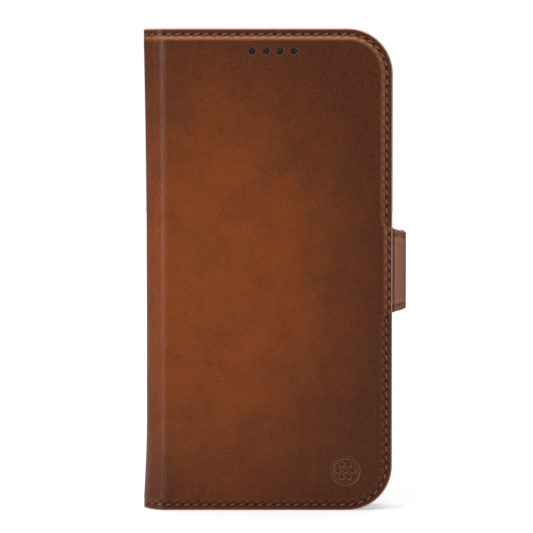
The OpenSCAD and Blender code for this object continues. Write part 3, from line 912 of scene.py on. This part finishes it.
path_x = root_x + np.concatenate([[0], np.cumsum(np.cos(heading_mid)) * path_step])
path_y = strap_front_y + np.concatenate([[0], np.cumsum(np.sin(heading_mid)) * path_step])

# Its seam runs 2 mm inside its edge, from the cover round the tip of the tongue and back
tip_straight = strap_len - tip_r
tip_bend = tip_r - seam_in
seam_half = tip_straight + tip_bend * math.pi / 2 + strap_w / 2 - tip_r


def strap_place(run, z):
    """How far along its seam a point of the strap is, how far inside it, and how far from the edge."""
    off_side = strap_w / 2 - np.abs(z - mid_z)
    from_tip = strap_len - run
    in_corner = (off_side < tip_r) & (from_tip < tip_r)
    up, on = tip_r - off_side, tip_r - from_tip
    edge = np.where(in_corner, tip_r - np.hypot(up, on), np.minimum(off_side, from_tip))
    turn = np.arctan2(np.maximum(on, 0), np.maximum(up, 1e-9))
    straight = np.where(off_side < from_tip, run, seam_half - np.abs(z - mid_z))
    along = np.where(in_corner, tip_straight + tip_bend * turn, straight)
    return np.where(z > mid_z, along, 2 * seam_half - along), edge


def hang(piece):
    """Lays the flat strap, or what is sewn to it, along its way round the side."""
    co = points(piece)
    run, y, z = co.T.copy()
    seam_run, edge = strap_place(run, z)
    inside = edge - seam_in
    note(piece, "flat_place", np.stack([run - tongue_len, y, z], 1))
    note(piece, "seam_place", np.stack([seam_run, inside, edge], 1))
    skived = (0.42 + 0.48 * ease((run - 2.8 * mm) / (1.7 * mm))) * mm
    y = y * skived / ply_t
    round_off = np.clip(1 - edge / edge_reach, 0, 1)
    face = np.abs(co[:, 1]) > 0.8 * ply_t
    y = y - np.where(face, np.sign(y) * strap_edge_drop * (1 - np.sqrt(1 - round_off ** 2)), 0)
    y = y - np.sign(y) * face * strap_seam_sink * np.exp(-(inside / seam_soft) ** 2)
    wide = np.interp(run, [0, 3 * mm, 7.5 * mm, side_end, strap_len],
                     [root_w, root_w, strap_w, strap_w, tip_w]) / strap_w
    heading = np.interp(run, path_run, heading_run)
    x0, y0 = np.interp(run, path_run, path_x), np.interp(run, path_run, path_y)
    move_points(piece, np.stack([x0 - y * np.sin(heading), y0 + y * np.cos(heading),
                                 mid_z + (z - mid_z) * wide], 1))


def cut_strap_sheet(name):
    """The strap laid flat, cut closely at its root and at its two bends."""
    rings = (0.08, 0.2, 0.45, 1, 1.5, 1.8, 2, 2.2, 2.5, 3, 4.5, 7)
    sheet = cut_blank(name, 0, strap_len, -ply_t, strap_w, tip_r, 16, rings)
    root_cuts = np.arange(0.4 * mm, to_corner + corner_run + 2 * mm, 0.35 * mm)
    fold_cuts = np.arange(side_end - 4 * mm, side_end + 5 * mm, 0.5 * mm)
    rest_cuts = np.concatenate([np.linspace(to_corner + corner_run + 3 * mm, side_end - 5 * mm, 5),
                                np.linspace(side_end + 6 * mm, strap_len - tip_r, 6)])
    slice_sheet(sheet, 0, [*root_cuts, *fold_cuts, *rest_cuts, strap_middle])
    slice_sheet(sheet, 2, mid_z + np.linspace(-5, 5, 5) * mm)
    return sheet


strap_pitch = 2.2 * mm
# The strap's outer face is painted lighter and pinker than the covers' leather, as a highlight from the light at
# the right
strap_hide = hide_material("strap_hide", dye(154, 98, 78), dye(126, 80, 64), strap_pitch, gloss=0.5, hole_shade=0.45)
strap_back_hide = hide_material("strap_back_hide", dye(140, 88, 62), dye(118, 72, 52), strap_pitch, hole_shade=0.45)
strap_sheet = cut_strap_sheet("strap_sheet")
finish_with(strap_sheet, strap_hide, strap_back_hide, cut_edge)
give_thickness(strap_sheet, 2 * ply_t, outer=0, inner=1, rim=2)
# The rim, and as a painted highlight a thin band of each face along the edge, take the cut edge's finish
for face in strap_sheet.data.polygons:
    if strap_place(np.array(face.center.x), np.array(face.center.z))[1] < edge_highlight_band:
        face.material_index = 2
strap_pieces = {}
for name, keep_front in (("strap_band", True), ("tongue_band", False)):
    band = copy_of(strap_sheet, name)
    edit(band, "FACE")
    pick(band, lambda f: (f.center.x > strap_middle) == keep_front, "polygons")
    bpy.ops.mesh.delete(type="FACE")
    bpy.ops.object.mode_set(mode="OBJECT")
    hang(band)
    smooth(band, 50)
    strap_pieces[name] = band
bpy.data.objects.remove(strap_sheet)
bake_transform(strap_pieces["strap_band"])
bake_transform(strap_pieces["tongue_band"])
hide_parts("strap_anchor", "strap_leather", "strap_lining")
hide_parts("tongue_leather", "tongue_lining")
finish_with(frame["nodes"]["tongue_magnet"], rolled_steel)

# Stitches go on both faces, and those past the middle of the strap belong to the tongue
strap_stitch = shape_stitch(1.6 * mm, 0.22 * mm)
front_places, tongue_places = [], []
for run in np.arange(strap_pitch / 2, 2 * seam_half, strap_pitch):
    short = run if run < seam_half else 2 * seam_half - run
    if short < 4.2 * mm:
        continue
    if short < tip_straight:
        along, up, heading = short, strap_w / 2 - seam_in, 0
    elif short < tip_straight + tip_bend * math.pi / 2:
        turn = (short - tip_straight) / tip_bend
        along = tip_straight + tip_bend * math.sin(turn)
        up = strap_w / 2 - tip_r + tip_bend * math.cos(turn)
        heading = -turn
    else:
        along, up, heading = strap_len - seam_in, seam_half - short, -math.pi / 2
    if run > seam_half:
        up, heading = -up, math.pi - heading
    spots = front_places if along < strap_middle else tongue_places
    spots.append((along, -ply_t, mid_z + up, heading, 1))
    spots.append((along, ply_t, mid_z + up, heading, -1))
strap_stitches = sew("strap_stitches", strap_stitch, front_places)
tongue_stitches = sew("tongue_stitches", strap_stitch, tongue_places)
hang(strap_stitches)
hang(tongue_stitches)
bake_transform(strap_stitches)
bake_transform(tongue_stitches)
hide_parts("strap_thread")
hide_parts("tongue_thread")
bpy.data.objects.remove(cover_stitch)
bpy.data.objects.remove(strap_stitch)

# ---- Floor, light and camera ----
# A white table that fades into a white wall, a large soft light at each side and one overhead, and a long
# lens straight in front, a little above the middle of the case.
start_fresh()
bpy.ops.mesh.primitive_plane_add(size=6, location=(0, 0, 0))
table_top = bpy.context.object
table_top.name = "table_top"
white_table, tree, shader = new_material("white_table")
place = lay(tree, "TexCoord").outputs["Object"]
lacquer = lay(tree, "TexNoise", Vector=place, Scale=6.0, Detail=2.0)
tree.links.new(tint(tree, lacquer.outputs["Fac"], dye(198, 198, 198), dye(204, 204, 204)),
               shader.inputs["Base Color"])
shader.inputs["Roughness"].default_value = 0.9
shader.inputs["Specular IOR Level"].default_value = 0.1
shader.inputs["Emission Color"].default_value = (1, 1, 1, 1)
looked_at = lay(tree, "LightPath").outputs["Is Camera Ray"]
reach = lay(tree, "VectorMath", operation="LENGTH")
tree.links.new(place, reach.inputs[0])
glow = scale_range(tree, reach.outputs["Value"], 0.1, 0.9, 0.5, 1.05)
tree.links.new(reckon(tree, "MULTIPLY", looked_at, glow), shader.inputs["Emission Strength"])
finish_with(table_top, white_table)

scene = bpy.context.scene
scene.view_settings.view_transform = "Standard"
world = scene.world or bpy.data.worlds.new("studio")
scene.world = world
world.use_nodes = True
sky = world.node_tree
wall = sky.nodes["Background"]
wall.inputs["Color"].default_value = (1, 1, 1, 1)
seen = lay(sky, "LightPath").outputs["Is Camera Ray"]
sky.links.new(scale_range(sky, seen, 0, 1, 0.12, 1.0, "LINEAR"), wall.inputs["Strength"])


def hang_light(name, place, aim, wide, tall, watts):
    """A soft box at a place, pointed at another, its size in metres."""
    lamp = bpy.data.lights.new(name, "AREA")
    lamp.shape = "RECTANGLE"
    lamp.size, lamp.size_y, lamp.energy = wide, tall, watts
    box = bpy.data.objects.new(name, lamp)
    scene.collection.objects.link(box)
    box.location = place
    box.rotation_euler = (Vector(aim) - Vector(place)).to_track_quat("-Z", "Y").to_euler()


hang_light("left_light", (-0.75, -0.62, 0.3), (0, 0, 0.085), 0.35, 0.8, 5.5)
hang_light("right_light", (0.85, -0.45, 0.28), (0, 0, 0.085), 0.35, 0.8, 1.3)
hang_light("top_light", (0, -0.32, 0.95), (0, 0, 0.1), 1.0, 0.35, 5.5)
hang_light("back_light", (0.2, 0.9, 0.6), (0, 0, 0.08), 1.0, 0.6, 2)
day = bpy.data.lights.new("roof_light", "SUN")
day.energy, day.angle = 1.3, math.radians(50)
roof = bpy.data.objects.new("roof_light", day)
scene.collection.objects.link(roof)
roof.rotation_euler = (math.radians(-22), 0, 0)

lens = bpy.data.cameras.new("camera")
lens.lens = 200
lens.sensor_width = 36
camera = bpy.data.objects.new("camera", lens)
scene.collection.objects.link(camera)
rise_angle = math.radians(3)
stand_off = 1030 * mm
aim_x, aim_z = -3.3 * mm, 85.4 * mm
camera.location = (aim_x, front_low.y - stand_off * math.cos(rise_angle),
                   aim_z + stand_off * math.sin(rise_angle))
camera.rotation_euler = (math.pi / 2 - rise_angle, 0, 0)
scene.camera = camera
